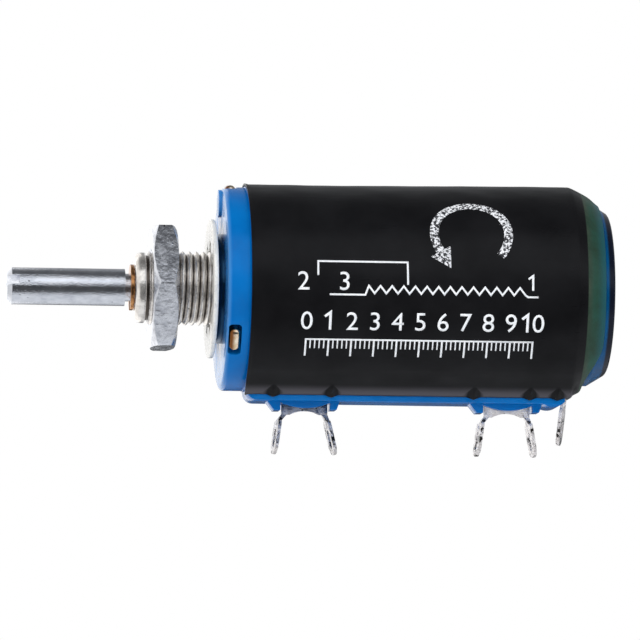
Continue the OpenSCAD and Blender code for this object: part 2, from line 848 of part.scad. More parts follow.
// Two-legged terminal: an arched web with a tongue up to the element's tap
module terminal(x, rear_lean) {
    shoulder_z = -rail_drop + 0.55;
    arch_z = crown_z - arch_r;
    color("lightgray")
    union() {
        across_y(tag_t)
            translate([x, 0])
                difference() {
                    union() {
                        translate([-web_hw, web_end_z]) square([2 * web_hw, shoulder_z - web_end_z]);
                        translate([-tongue_w / 2, shoulder_z - eps])
                            square([tongue_w, -shoulder_z - bore_r + eps]);
                    }
                    translate([0, arch_z]) circle(arch_r);
                }
        leg(x, -1, front_leg_lean, front_leg_out);
        leg(x, 1, rear_lean, rear_leg_out);
    }
}

module terminal_3() {
    terminal(tap_x, rear_leg_lean);
}

module terminal_1() {
    terminal(last_tap_x, end_leg_lean);
}

// Single terminal of the wiper, held in the seam between housing and rear cap
module terminal_2() {
    length = wiper_tip_drop + wiper_bend_z;
    color("lightgray")
    difference() {
        union() {
            along_x(housing_l, housing_l + tag_t)
                translate([-wiper_inner_w / 2, wiper_bend_z - 0.1])
                    square([wiper_inner_w, -wiper_top_r - wiper_bend_z + 0.1]);
            translate([housing_l + tag_t / 2, 0, wiper_bend_z])
                rotate([0, wiper_lean, -wiper_twist])
                    translate([tag_t / 2, 0, 0])
                        rotate([90, 0, -90])
                            linear_extrude(tag_t) leg_outline(length, wiper_outer_w, 1.6);
        }
        translate([0, 0, rivet_z]) rod_x(rivet_r, housing_l - 1, housing_l + 1);
    }
}

// Leaf spring from the wiper terminal to the slip ring
module slip_ring_brush() {
    x1 = housing_l;
    tip_x = ring_back_x + brush_gap;
    tip_z = -track_r;
    color("gold")
    difference() {
        across_y(brush_w)
            polygon([[x1, brush_foot_z], [x1, brush_top_z], [tip_x + 0.45, tip_z - 0.35],
                     [tip_x + 0.2, tip_z + 0.1], [tip_x + 0.35, tip_z + 0.45],
                     [tip_x + 0.2, tip_z + 0.55], [tip_x, tip_z + 0.1],
                     [tip_x + 0.2, tip_z - 0.5], [x1 - brush_t, brush_top_z - 0.1],
                     [x1 - brush_t, brush_foot_z]]);
        translate([0, 0, rivet_z]) rod_x(rivet_r, housing_l - 1, housing_l + 1);
    }
}

module brush_rivet() {
    x0 = housing_l - brush_t;
    x1 = housing_l + tag_t;
    color("goldenrod")
    translate([0, 0, rivet_z]) {
        rod_x(rivet_r, x0, x1);
        rod_x(rivet_head_r, x0 - rivet_head_t, x0);
        rod_x(rivet_head_r, x1, x1 + rivet_head_t);
    }
}

// Pin in the front cap that stops the carriage at the first turn
module front_stop_pin() {
    color("silver") stop_pin_shape();
}

front_cap();
housing();
rear_cap();
film_sleeve();
bushing();
ear_plate();
lock_washer();
mounting_nut();
shaft();
retaining_clip();
thrust_washer();
drive_pin();
rear_bearing();
rotor();
slip_ring();
collector_rod();
wiper_carriage();
wiper_contact();
rod_spring();
resistance_element();
terminal_3();
terminal_1();
terminal_2();
slip_ring_brush();
brush_rivet();
front_stop_pin();
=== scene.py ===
# %% [markdown]
# A ten-turn potentiometer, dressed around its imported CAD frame. The solids
# give every piece its place. This script adds what a solid model leaves out:
# the thread, the shrunk printed film, soft edges and the finishes. It can be
# read cell by cell, in the order in which the pieces are made.
#
# Blender works in metres, and a part this small is easier to read in
# millimetres, so sizes are given in millimetres and MM turns them into metres.
# The shaft's axis is X, the front face of the body is at 0, and the terminals
# hang down. Stations along X repeat the part's own sizes, so each dressed piece
# stays where its solid is.

import bmesh
import bpy
import math
from mathutils import Matrix, Vector, noise


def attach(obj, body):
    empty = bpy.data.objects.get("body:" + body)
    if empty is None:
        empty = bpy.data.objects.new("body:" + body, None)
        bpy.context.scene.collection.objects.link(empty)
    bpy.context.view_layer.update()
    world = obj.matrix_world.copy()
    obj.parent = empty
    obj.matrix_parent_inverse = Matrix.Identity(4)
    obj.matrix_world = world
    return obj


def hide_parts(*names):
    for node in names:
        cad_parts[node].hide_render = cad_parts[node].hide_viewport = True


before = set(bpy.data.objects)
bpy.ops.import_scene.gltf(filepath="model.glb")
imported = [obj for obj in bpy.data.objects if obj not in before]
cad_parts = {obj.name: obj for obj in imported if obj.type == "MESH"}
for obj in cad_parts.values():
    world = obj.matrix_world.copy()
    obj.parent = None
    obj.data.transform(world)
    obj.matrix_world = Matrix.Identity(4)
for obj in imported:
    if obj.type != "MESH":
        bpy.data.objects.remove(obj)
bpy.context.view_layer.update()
MM = 0.001
print("nodes", len(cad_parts))

# %% [markdown]
# The effects of the finishes are shader node groups: each is built once and
# placed in every material that needs it, with its own values. These helpers
# keep them short. They add a node and fill its sockets with numbers or links,
# open a group with named inputs and outputs, and write the sums, ranges and
# colour mixes that come back everywhere.


# %% Helpers for nodes and node groups
def fill(tree, node, values):
    for key, value in values.items():
        if isinstance(value, bpy.types.NodeSocket):
            tree.links.new(value, node.inputs[key])
        else:
            node.inputs[key].default_value = value
    return node


def add(tree, kind, values=None, **settings):
    node = tree.nodes.new("ShaderNode" + kind)
    for key, value in settings.items():
        setattr(node, key, value)
    return fill(tree, node, values or {})


def new_group(name, inputs, outputs):
    tree = bpy.data.node_groups.new(name, "ShaderNodeTree")
    for label, kind, value in inputs:
        socket = tree.interface.new_socket(name=label, in_out="INPUT", socket_type="NodeSocket" + kind)
        socket.default_value = value
    for label, kind in outputs:
        tree.interface.new_socket(name=label, in_out="OUTPUT", socket_type="NodeSocket" + kind)
    source = tree.nodes.new("NodeGroupInput")
    target = tree.nodes.new("NodeGroupOutput")
    return tree, source.outputs, target.inputs


def use(tree, group, values):
    node = tree.nodes.new("ShaderNodeGroup")
    node.node_tree = group
    return fill(tree, node, values)


def calc(tree, operation, first, second=0.0, **settings):
    """The result of a sum with one or two values."""
    return add(tree, "Math", {0: first, 1: second}, operation=operation, **settings).outputs[0]


def vector_calc(tree, operation, first, second):
    """The result of a sum with two vectors."""
    return add(tree, "VectorMath", {0: first, 1: second}, operation=operation).outputs[0]


def span(tree, value, low, high, start=0.0, end=1.0, **settings):
    """A value that runs from low to high, turned into one that runs from start to end."""
    values = {"Value": value, "From Min": low, "From Max": high, "To Min": start, "To Max": end}
    return add(tree, "MapRange", values, **settings).outputs[0]


def mix(tree, share, under, over):
    """One colour laid over another by a share."""
    return add(tree, "Mix", {0: share, 6: under, 7: over}, data_type="RGBA").outputs[2]


def paint(red, green, blue):
    """A screen colour of 0 to 255 as the linear colour that a shader takes."""
    linear = []
    for value in (red, green, blue):
        share = value / 255
        linear.append(share / 12.92 if share < 0.04045 else ((share + 0.055) / 1.055) ** 2.4)
    return (*linear, 1.0)


def place_in_mm(tree):
    """The place on the piece itself, in millimetres, so a finish moves with its piece."""
    coords = tree.nodes.new("ShaderNodeTexCoord")
    scaled = add(tree, "VectorMath", {0: coords.outputs["Object"], "Scale": 1 / MM}, operation="SCALE")
    return scaled.outputs["Vector"]


# %% [markdown]
# Mouldings and plated metal are never one even colour. A cloudy tone drifts
# between two near colours in patches of a chosen size. It is a soft noise
# whose middle is stretched, which looks more like real unevenness than a hard
# edged pattern does.

# %% Group: cloudy tone
cloudy_tone, given, result = new_group(
    "cloudy tone",
    [("Light", "Color", (0.8, 0.8, 0.8, 1)), ("Dark", "Color", (0.6, 0.6, 0.6, 1)),
     ("Patch", "Float", 3.0), ("Stretch", "Vector", (1, 1, 1))],
    [("Colour", "Color")])
where = vector_calc(cloudy_tone, "DIVIDE", place_in_mm(cloudy_tone), given["Stretch"])
patch_scale = calc(cloudy_tone, "DIVIDE", 1.0, given["Patch"])
clouds = add(cloudy_tone, "TexNoise", {"Vector": where, "Scale": patch_scale, "Detail": 3.0,
                                       "Roughness": 0.55})
spread = span(cloudy_tone, clouds.outputs[0], 0.35, 0.65)
cloudy_tone.links.new(mix(cloudy_tone, spread, given["Dark"], given["Light"]), result["Colour"])

# %% [markdown]
# Fine relief is the small unevenness that breaks up a highlight: the skin of a
# moulding, the drawn lines of a film, the tumbled face of a plated nut. One
# group makes them all. The stretch turns round grain into lines.

# %% Group: fine relief
fine_relief, given, result = new_group(
    "fine relief",
    [("Grain", "Float", 0.3), ("Stretch", "Vector", (1, 1, 1)), ("Detail", "Float", 4.0)],
    [("Height", "Float")])
where = vector_calc(fine_relief, "DIVIDE", place_in_mm(fine_relief), given["Stretch"])
grain_scale = calc(fine_relief, "DIVIDE", 1.0, given["Grain"])
grain = add(fine_relief, "TexNoise", {"Vector": where, "Scale": grain_scale, "Detail": given["Detail"],
                                      "Roughness": 0.6})
fine_relief.links.new(grain.outputs[0], result["Height"])

# %% [markdown]
# Small dark pits and specks sit in the plating of the shaft, the nut and the
# terminals. A cell pattern gives one point to each cell. Only the cells whose
# random tone is below the share keep a speck, and a second tone sets its size,
# so the specks are scattered and uneven.

# %% Group: specks
specks, given, result = new_group(
    "specks",
    [("Spacing", "Float", 0.8), ("Size", "Float", 0.16), ("Share", "Float", 0.4),
     ("Stretch", "Vector", (1, 1, 1))],
    [("Mask", "Float")])
where = vector_calc(specks, "DIVIDE", place_in_mm(specks), given["Stretch"])
warp = add(specks, "TexNoise", {"Vector": where, "Scale": 3.0, "Detail": 2.0})
warped = vector_calc(specks, "MULTIPLY", warp.outputs["Color"], (0.25, 0.25, 0.25))
cell_scale = calc(specks, "DIVIDE", 1.0, given["Spacing"])
cells = add(specks, "TexVoronoi", {"Vector": vector_calc(specks, "ADD", where, warped), "Scale": cell_scale})
cell_tone = add(specks, "SeparateColor", {0: cells.outputs["Color"]})
chosen = calc(specks, "LESS_THAN", cell_tone.outputs[0], given["Share"])
cell_size = calc(specks, "MULTIPLY", cell_tone.outputs[1], given["Size"])
inner_size = calc(specks, "MULTIPLY", cell_size, 0.5)
spot = span(specks, cells.outputs["Distance"], inner_size, cell_size, 1.0, 0.0)
specks.links.new(calc(specks, "MULTIPLY", spot, chosen), result["Mask"])

# %% [markdown]
# Solder dross is not round: it lies in ragged dark blotches. A rough noise that
# is cut at a level gives them, and the level sets how much of the face they
# cover.

# %% Group: blotches
blotches, given, result = new_group(
    "blotches", [("Size", "Float", 0.5), ("Cover", "Float", 0.3)], [("Mask", "Float")])
blotch_scale = calc(blotches, "DIVIDE", 1.0, given["Size"])
ragged = add(blotches, "TexNoise", {"Vector": place_in_mm(blotches), "Scale": blotch_scale, "Detail": 5.0,
                                    "Roughness": 0.7})
cut = span(blotches, given["Cover"], 0.0, 1.0, 0.72, 0.34)
past_cut = calc(blotches, "SUBTRACT", ragged.outputs[0], cut)
blotches.links.new(span(blotches, past_cut, 0.0, 0.035), result["Mask"])

# %% [markdown]
# A mask that follows one direction of the piece lets a finish change along it,
# as the film does at its tail and near the rail. It rises from 0 to 1 between
# two stations, which are counted along X unless another direction is given.

# %% Group: along a line
along_line, given, result = new_group(
    "along a line", [("Start", "Float", 0.0), ("End", "Float", 1.0), ("Direction", "Vector", (1, 0, 0))],
    [("Mask", "Float")])
station = add(along_line, "VectorMath", {0: place_in_mm(along_line), 1: given["Direction"]},
              operation="DOT_PRODUCT")
ramp = span(along_line, station.outputs["Value"], given["Start"], given["End"],
            interpolation_type="SMOOTHSTEP")
along_line.links.new(ramp, result["Mask"])
DOWN = (0, 0, -1)


def past(tree, start, end, direction=(1, 0, 0)):
    """The mask that is 0 before the start and 1 past the end."""
    return use(tree, along_line, {"Start": start, "End": end, "Direction": direction}).outputs["Mask"]


# %% [markdown]
# Shade falls in the grooves of a thread and under a collar, and it is painted
# there as a darker colour. On a turned piece those are the places near the
# axis, so this mask rises with the distance from the shaft's axis.

# %% Group: off the axis
off_axis, given, result = new_group(
    "off the axis", [("Inner", "Float", 1.0), ("Outer", "Float", 2.0)], [("Mask", "Float")])
across = vector_calc(off_axis, "MULTIPLY", place_in_mm(off_axis), (0, 1, 1))
distance = add(off_axis, "VectorMath", {0: across}, operation="LENGTH")
ramp = span(off_axis, distance.outputs["Value"], given["Inner"], given["Outer"],
            interpolation_type="SMOOTHSTEP")
off_axis.links.new(ramp, result["Mask"])
print("shared groups", [group.name for group in bpy.data.node_groups])

# %% [markdown]
# Each material below is built by one function for its family. The shader stays
# in the material, its even values are typed on its own sockets, and the groups
# feed only colour, roughness and the height of a bump. The roughness drifts,
# because a handled surface is never equally shiny all over. Each function
# returns the tree, the shader and the tone, so that a finish can be taken
# further.

# %% Helpers for the finishes
finishes = {}


def new_finish(slot, label):
    material = bpy.data.materials.new(label)
    material.use_nodes = True
    finishes[slot] = material
    return material.node_tree, material.node_tree.nodes["Principled BSDF"]


def colour(tree, shader, tone):
    tree.links.new(tone, shader.inputs["Base Color"])


def drifting_roughness(tree, shader, low, high, patch, stretch=(1, 1, 1)):
    drift = use(tree, fine_relief, {"Grain": patch, "Stretch": stretch, "Detail": 3.0})
    tree.links.new(span(tree, drift.outputs["Height"], 0.3, 0.7, low, high), shader.inputs["Roughness"])


def relief(tree, shader, grain, depth, stretch=(1, 1, 1), pits=None):
    height = use(tree, fine_relief, {"Grain": grain, "Stretch": stretch}).outputs["Height"]
    if pits is not None:
        height = calc(tree, "SUBTRACT", height, pits)
    bump = add(tree, "Bump", {"Strength": 1.0, "Distance": depth * MM, "Height": height})
    tree.links.new(bump.outputs[0], shader.inputs["Normal"])


def moulded(slot, label, light, dark, rough, patch, grain=0.35, depth=0.01, gloss=0.5):
    tree, shader = new_finish(slot, label)
    tone = use(tree, cloudy_tone, {"Light": light, "Dark": dark, "Patch": patch}).outputs["Colour"]
    colour(tree, shader, tone)
    drifting_roughness(tree, shader, *rough, patch / 2)
    relief(tree, shader, grain, depth)
    shader.inputs["Specular IOR Level"].default_value = gloss
    return tree, shader, tone


def plated(slot, label, light, dark, speck, rough, patch, grain, depth, stretch=(1, 1, 1),
           spacing=0.8, size=0.3, share=0.35, metal=1.0):
    tree, shader = new_finish(slot, label)
    tone = use(tree, cloudy_tone, {"Light": light, "Dark": dark, "Patch": patch, "Stretch": stretch})
    spots = use(tree, specks, {"Spacing": spacing, "Size": size, "Share": share, "Stretch": stretch})
    speckled = mix(tree, spots.outputs["Mask"], tone.outputs["Colour"], speck)
    colour(tree, shader, speckled)
    drifting_roughness(tree, shader, *rough, patch, stretch)
    relief(tree, shader, grain, depth, stretch, pits=spots.outputs["Mask"])
    shader.inputs["Metallic"].default_value = metal
    return tree, shader, speckled


# %% [markdown]
# The body is a glossy blue thermoset. Its colour drifts very little, its skin
# has a faint orange-peel relief, and its front lip is painted paler: a painted
# highlight, for the light that the rounded lip reflects. The rear cap is the
# same plastic in a deeper blue, and its back is painted nearly black, as
# painted shade.

# %% Finish: blue mouldings
tree, shader, tone = moulded("blue_moulding", "blue moulding", paint(2, 112, 190), paint(2, 101, 176),
                             (0.13, 0.22), 5.0, grain=0.5, depth=0.004, gloss=0.12)
# Painted highlight: the front lip is mixed towards a pale blue.
painted_lip_highlight = calc(tree, "MULTIPLY", past(tree, 0.45, 0.05), 0.35)
colour(tree, shader, mix(tree, painted_lip_highlight, tone, paint(96, 166, 226)))
tree, shader, tone = moulded("blue_cap", "deep blue cap", paint(4, 82, 132), paint(4, 70, 116),
                             (0.13, 0.22), 5.0, grain=0.5, depth=0.004, gloss=0.1)
# Painted shade: the back of the rear cap is mixed towards near black.
colour(tree, shader, mix(tree, past(tree, 41.0, 41.3), tone, paint(17, 22, 37)))

# %% [markdown]
# The film is a heat-shrunk sleeve, printed black up to a sharp edge near the
# rear. Behind that edge it is a clear film over the blue cap, and it reads as
# a dull green. One material does both: a mask along the axis changes the
# colour. Low down, where the film is stretched flat to the rail, a painted
# sheen makes it greyer, a painted reflection of the pale floor; a dark hem
# along its lower edge and dark folds over the posts are painted shade. Fine
# lines run lengthways, where the sleeve was drawn.

# %% Finish: printed film
POSTS = (5.5, 11.8, 27.2, 33.3, 36.3)
tree, shader = new_finish("black_film", "printed film")
black = use(tree, cloudy_tone, {"Light": paint(23, 23, 25), "Dark": paint(15, 15, 17), "Patch": 6.0})
# Painted reflection: low down the film is mixed greyer, as if it mirrored the pale floor.
low_sheen_band = past(tree, 10.5, 11.45, DOWN)
# Painted shade: a dark hem along the film's lower edge, then dark folds over each post.
shaded = past(tree, 11.5, 11.62, DOWN)
place = add(tree, "SeparateXYZ", {0: place_in_mm(tree)})
fold_half = add(tree, "Math", {0: low_sheen_band, 1: 0.85, 2: 0.1}, operation="MULTIPLY_ADD").outputs[0]
for post in POSTS:
    offset = calc(tree, "ABSOLUTE", calc(tree, "SUBTRACT", place.outputs["X"], post))
    fold_shade = span(tree, calc(tree, "DIVIDE", offset, fold_half), 0.7, 1.2, 1.0, 0.0)
    shaded = calc(tree, "MAXIMUM", shaded, fold_shade)
sheen_share = calc(tree, "SUBTRACT", low_sheen_band, shaded, use_clamp=True)
with_floor_sheen = mix(tree, sheen_share, black.outputs["Colour"], paint(80, 78, 83))
olive = mix(tree, past(tree, 38.7, 39.5), paint(62, 74, 62), paint(42, 80, 68))
green = use(tree, cloudy_tone, {"Light": olive, "Dark": paint(42, 64, 52), "Patch": 2.5})
tail = mix(tree, past(tree, 39.6, 40.9), green.outputs["Colour"], paint(34, 88, 96))
colour(tree, shader, mix(tree, past(tree, 38.62, 38.72), with_floor_sheen, tail))
drifting_roughness(tree, shader, 0.26, 0.42, 3.0, (4, 1, 1))
relief(tree, shader, 0.5, 0.008, (6, 1, 1))
shader.inputs["Specular IOR Level"].default_value = 0.1

# %% [markdown]
# White print on the film is a slightly rough ink. The turning arrow is printed
# through a screen, so it is a field of silver dots with the film between them.
# A cell pattern makes the dots.

# %% Finish: inks
tree, shader = new_finish("white_ink", "white ink")
tone = use(tree, cloudy_tone, {"Light": paint(252, 253, 254), "Dark": paint(232, 236, 240), "Patch": 0.35})
colour(tree, shader, tone.outputs["Colour"])
drifting_roughness(tree, shader, 0.45, 0.65, 0.5)
relief(tree, shader, 0.12, 0.004)

tree, shader = new_finish("dotted_ink", "dotted silver ink")
dots = use(tree, specks, {"Spacing": 0.2, "Size": 1.5, "Share": 0.97})
colour(tree, shader, mix(tree, dots.outputs["Mask"], paint(44, 44, 48), paint(244, 245, 248)))
drifting_roughness(tree, shader, 0.4, 0.6, 0.4)
relief(tree, shader, 0.12, 0.004)

# %% [markdown]
# The metals are bright nickel on brass and steel. Each has its own grain: the
# shaft is drawn lengthways, the nut is tumbled and dented, and the washer is
# stamped. Dark specks show where the plating is thin.

# %% Finish: shaft, nut, washer and pins
plated("nickel_shaft", "nickel shaft", paint(222, 224, 230), paint(200, 203, 210), paint(120, 122, 132),
       (0.05, 0.13), 1.2, grain=0.14, depth=0.032, stretch=(1.6, 1, 1), spacing=0.3, size=0.3, share=0.15)
plated("nickel_nut", "nickel nut", paint(232, 234, 240), paint(184, 186, 193), paint(62, 58, 62),
       (0.16, 0.34), 0.8, grain=0.8, depth=0.07, spacing=0.9, size=0.2, share=0.3)
plated("nickel_washer", "nickel washer", paint(252, 249, 240), paint(240, 238, 232), paint(70, 70, 74),
       (0.22, 0.36), 1.5, grain=0.3, depth=0.012, spacing=1.4, size=0.14, share=0.25, metal=0.12)
plated("steel_pin", "steel pin", paint(196, 198, 204), paint(160, 162, 168), paint(80, 80, 84),
       (0.2, 0.32), 1.0, grain=0.2, depth=0.006)

# %% [markdown]
# The bushing's thread is cut. Its crests are bright and its grooves are
# painted dark as painted shade, but the nose in front of them is left out. The
# shoulder lies in the washer's shadow, next to the blue cap, and is painted dark
# blue: painted shade, with a painted reflection of the blue cap.

# %% Finish: thread
NECK_X = -8.2
SHOULDER_X = -0.76
tree, shader, tone = plated("nickel_thread", "nickel thread", paint(242, 237, 231), paint(206, 200, 194),
                            paint(70, 62, 58), (0.12, 0.26), 0.8, grain=0.25, depth=0.02, spacing=0.9,
                            size=0.2, share=0.3, metal=0.84)
crests = use(tree, off_axis, {"Inner": 3.64, "Outer": 3.86})
# Painted shade: the grooves are mixed darker; the crests and the nose are left out.
no_groove_shade = calc(tree, "MAXIMUM", crests.outputs["Mask"], past(tree, NECK_X + 0.03, NECK_X - 0.03))
groove_shaded = mix(tree, no_groove_shade, paint(84, 76, 70), tone)
# Painted shade: the shoulder is mixed towards dark blue, with a painted reflection of the blue cap.
shoulder_shade = past(tree, SHOULDER_X - 0.05, SHOULDER_X + 0.02)
colour(tree, shader, mix(tree, shoulder_shade, groove_shaded, paint(22, 58, 88)))

# %% [markdown]
# The terminals are tinned. Their legs shine and hold dark dross. Their webs,
# which lie above the legs and under the rail, have stayed dull and pale.

# %% Finish: terminals
tree, shader, tone = plated("tinned_tag", "tinned tag", paint(250, 246, 244), paint(214, 208, 206),
                            paint(90, 86, 82), (0.16, 0.3), 0.6, grain=0.7, depth=0.3, spacing=0.5,
                            size=0.25, share=0.3)
dross = use(tree, blotches, {"Size": 0.75, "Cover": 0.51})
legs = past(tree, 13.4, 13.9, DOWN)
leg_dross = calc(tree, "MULTIPLY", dross.outputs["Mask"], legs)
colour(tree, shader, mix(tree, leg_dross, tone, paint(44, 42, 40)))
tree.links.new(calc(tree, "MULTIPLY", legs, 0.5), shader.inputs["Metallic"])

# %% [markdown]
# The ear plate is brass, painted dark brown on its front side as painted
# shade, and the clip in the shaft's groove is bronze. The sliding contacts
# inside are gilt.

# %% Finish: brass, bronze and gold
tree, shader, tone = plated("brass_plate", "brass plate", paint(250, 236, 216), paint(222, 194, 158),
                            paint(96, 62, 34), (0.08, 0.2), 0.7, grain=0.3, depth=0.03, spacing=0.6,
                            size=0.2, share=0.3)
# Painted shade: the ear's front side is mixed towards dark brown.
colour(tree, shader, mix(tree, past(tree, 0.5, 0.95), paint(120, 74, 36), tone))
plated("bronze_clip", "bronze clip", paint(206, 152, 102), paint(146, 98, 60), paint(70, 44, 30),
       (0.14, 0.28), 0.5, grain=0.2, depth=0.03, spacing=0.5, size=0.3, share=0.2)
plated("gold_contact", "gold contact", paint(238, 204, 132), paint(222, 180, 98), paint(150, 110, 60),
       (0.14, 0.24), 0.8, grain=0.1, depth=0.004)

# %% [markdown]
# The inner pieces are seldom seen, but they are finished too: an ivory rotor,
# a white carriage, and a resistance element whose fine winding is a relief of
# rings across the wire. Then each CAD node gets its finish, and the name of its
# slot is noted for the copies that are made of it.

# %% Finish: inner pieces
moulded("ivory_moulding", "ivory moulding", paint(236, 228, 206), paint(220, 210, 184), (0.35, 0.5), 4.0)
moulded("white_moulding", "white moulding", paint(238, 238, 234), paint(224, 224, 220), (0.3, 0.45), 3.0)
plated("resistance_wire", "resistance wire", paint(190, 168, 134), paint(140, 118, 88), paint(70, 56, 40),
       (0.25, 0.4), 0.5, grain=0.06, depth=0.03, stretch=(0.4, 2, 2))
slots = {}
for node_name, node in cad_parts.items():
    slots[node_name] = node.data.materials[0].name
    for index, material in enumerate(node.data.materials):
        node.data.materials[index] = finishes[material.name]
print("finishes", sorted(finishes))

# %% [markdown]
# A piece is made from points and faces in millimetres. The helpers below turn
# them into a mesh in metres, shade it smooth up to a sharp angle, give it a
# finish and a body to ride on, and name the CAD node that it stands for. Most
# pieces here are rows of points, so one helper joins the rows with faces.


# %% Helpers for meshes
def new_object(name, data):
    obj = bpy.data.objects.new(name, data)
    bpy.context.scene.collection.objects.link(obj)
    return obj


def keep_piece(obj, finish, body, stands_for=None, sharp=40.0):
    obj.data.materials.clear()
    obj.data.materials.append(finishes[finish])
    obj.data.polygons.foreach_set("use_smooth", [True] * len(obj.data.polygons))
    obj.data.set_sharp_from_angle(angle=math.radians(sharp))
    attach(obj, body)
    if stands_for:
        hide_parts(stands_for)
    print(obj.name, len(obj.data.polygons), "faces")


def piece_from(name, points, faces):
    mesh = bpy.data.meshes.new(name)
    mesh.from_pydata([Vector(point) * MM for point in points], [], faces)
    mesh.validate()
    shape = bmesh.new()
    shape.from_mesh(mesh)
    bmesh.ops.recalc_face_normals(shape, faces=shape.faces)
    shape.to_mesh(mesh)
    shape.free()
    return new_object(name, mesh)


def around(x, radius, angle):
    """A point at an angle from straight down, turning towards the viewer's side."""
    turn = math.radians(angle)
    return (x, -radius * math.sin(turn), -radius * math.cos(turn))


def quads_between(rows, count, first=0, closed=False):
    """Faces between neighbouring rows of points. If closed, the last row meets the first again."""
    quads = []
    for i in range(rows if closed else rows - 1):
        here = first + i * count
        there = first + (i + 1) % rows * count
        for k in range(count):
            n = (k + 1) % count
            quads.append((here + k, there + k, there + n, here + n))
    return quads


# %% [markdown]
# Real edges are never knife sharp: they catch a thin line of light. A bevel on
# the CAD mesh would change the frame, so a softened copy stands for the node
# instead. Flat areas are merged first, and only edges over 30 degrees get the
# bevel.

# %% Softened copies of CAD nodes
MERGE = 0.0005
FLAT_UNDER = math.radians(0.5)
SHARP_OVER = math.radians(30)


def soften(node_name, width, body="body", segments=2):
    shape = bmesh.new()
    shape.from_mesh(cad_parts[node_name].data)
    bmesh.ops.remove_doubles(shape, verts=shape.verts, dist=MERGE * MM)
    bmesh.ops.dissolve_limit(shape, angle_limit=FLAT_UNDER, verts=shape.verts, edges=shape.edges)
    sharp = [edge for edge in shape.edges if edge.is_manifold and edge.calc_face_angle(0) > SHARP_OVER]
    bmesh.ops.bevel(shape, geom=sharp, offset=width * MM, offset_type="OFFSET", segments=segments,
                    profile=0.5, affect="EDGES", clamp_overlap=True)
    bmesh.ops.triangulate(shape, faces=[face for face in shape.faces if len(face.verts) > 4])
    mesh = bpy.data.meshes.new(node_name + "_soft")
    shape.to_mesh(mesh)
    shape.free()
    slot = slots[node_name]
    keep_piece(new_object(node_name + "_soft", mesh), slot, body, node_name)


soften("mounting_nut", 0.25, "nut", 3)
soften("lock_washer", 0.08)
soften("shaft", 0.06, "shaft_and_rotor")
soften("retaining_clip", 0.05, "shaft_and_rotor")
soften("front_cap", 0.08)
soften("housing", 0.1)
for tag in ("terminal_1", "terminal_2", "terminal_3"):
    soften(tag, 0.07)

# %% [markdown]
# The bushing's fine thread is left out of the CAD model, which keeps a plain
# cylinder. Here the whole bushing is turned as one closed ring of points. Over
# the threaded length the radius also depends on the angle, so the crests climb
# as a helix. The depth fades out at both ends, where the die was lifted. The
# profile runs from the bore over the nose and the neck to the thread, and over
# the shoulder and the flanges inside the body back to the bore.

# %% Piece: threaded bushing
NOSE_X = -9.35
NECK_R = 3.5
THREAD_X = -7.9
THREAD_R = 4.0
PITCH = 0.75
THREAD_DEPTH = 0.38
GROOVE_POWER = 1.6
RUN_IN = 0.5
RUN_OUT = 0.3
PLAIN_END = 0.15
CHAMFER = 0.3
CHAMFER_SLOPE = 0.25
BORE_R = 2.05
AROUND = 96
STEP = 0.0625


def thread_radius(x, turn):
    """Radius of the thread at a station and a share of a turn."""
    past_start = x - THREAD_X
    groove = abs(2 * ((past_start / PITCH - turn) % 1.0) - 1) ** GROOVE_POWER
    fade = max(0.0, min(1.0, past_start / RUN_IN, (SHOULDER_X - PLAIN_END - x) / RUN_OUT))
    chamfer = CHAMFER_SLOPE * max(0.0, CHAMFER - past_start)
    return THREAD_R - THREAD_DEPTH * groove * fade - chamfer


front = [(NOSE_X, BORE_R + 0.15), (NOSE_X, 3.3), (NOSE_X + 0.06, 3.45), (NOSE_X + 0.2, 3.62),
         (NOSE_X + 0.42, 3.75), (NOSE_X + 0.7, 3.8), (NECK_X - 0.1, 3.8), (NECK_X - 0.02, 3.76),
         (NECK_X, 3.68), (NECK_X, NECK_R), (THREAD_X - 0.02, NECK_R)]
back = [(SHOULDER_X, 5.82), (SHOULDER_X + 0.08, 5.9), (0.25, 5.9), (0.25, 4.6), (1.45, 4.6), (1.45, 5.3),
        (2.0, 5.3), (2.0, 4.4), (3.6, 4.4), (3.6, BORE_R), (NOSE_X + 0.15, BORE_R)]
steps = int(round((SHOULDER_X - THREAD_X) / STEP))
threaded = [THREAD_X + (SHOULDER_X - THREAD_X) * i / steps for i in range(steps + 1)]
rings = [[(x, r)] * AROUND for x, r in front]
rings += [[(x, thread_radius(x, k / AROUND)) for k in range(AROUND)] for x in threaded]
rings += [[(x, r)] * AROUND for x, r in back]
points = [around(x, r, 360 * k / AROUND) for ring in rings for k, (x, r) in enumerate(ring)]
bushing = piece_from("threaded_bushing", points, quads_between(len(rings), AROUND, closed=True))
keep_piece(bushing, "nickel_thread", "body", "bushing", sharp=50)

# %% [markdown]
# A brass plate is moulded into the front cap, and its three ears look out of
# windows in the rim. Each ear has a worn, domed end, which the CAD model only
# rounds in two directions. So an ear is made here from outlines that shrink
# towards its top, and the plate is a flat ring with four faces.

# %% Piece: plate with domed ears
PLATE_X = (0.25, 1.45)
PLATE_R = (4.6, 8.3)
PLATE_SIDES = 60
EAR_ROOT = 7.6
EAR_TOP = 11.25
EAR_HALF = 1.4
DOME_R = 0.6
EAR_ANGLES = (55, 175, 295)


def ear_outline(inset, sides=12):
    """Pill outline of an ear, as offsets along the axis and along the rim."""
    corner = (PLATE_X[1] - PLATE_X[0]) / 2 - inset
    outline = []
    for end in (1, -1):
        for i in range(sides + 1):
            turn = math.pi * i / sides
            along_rim = EAR_HALF - DOME_R + corner * math.sin(turn)
            outline.append((end * corner * math.cos(turn), end * along_rim))
    return outline


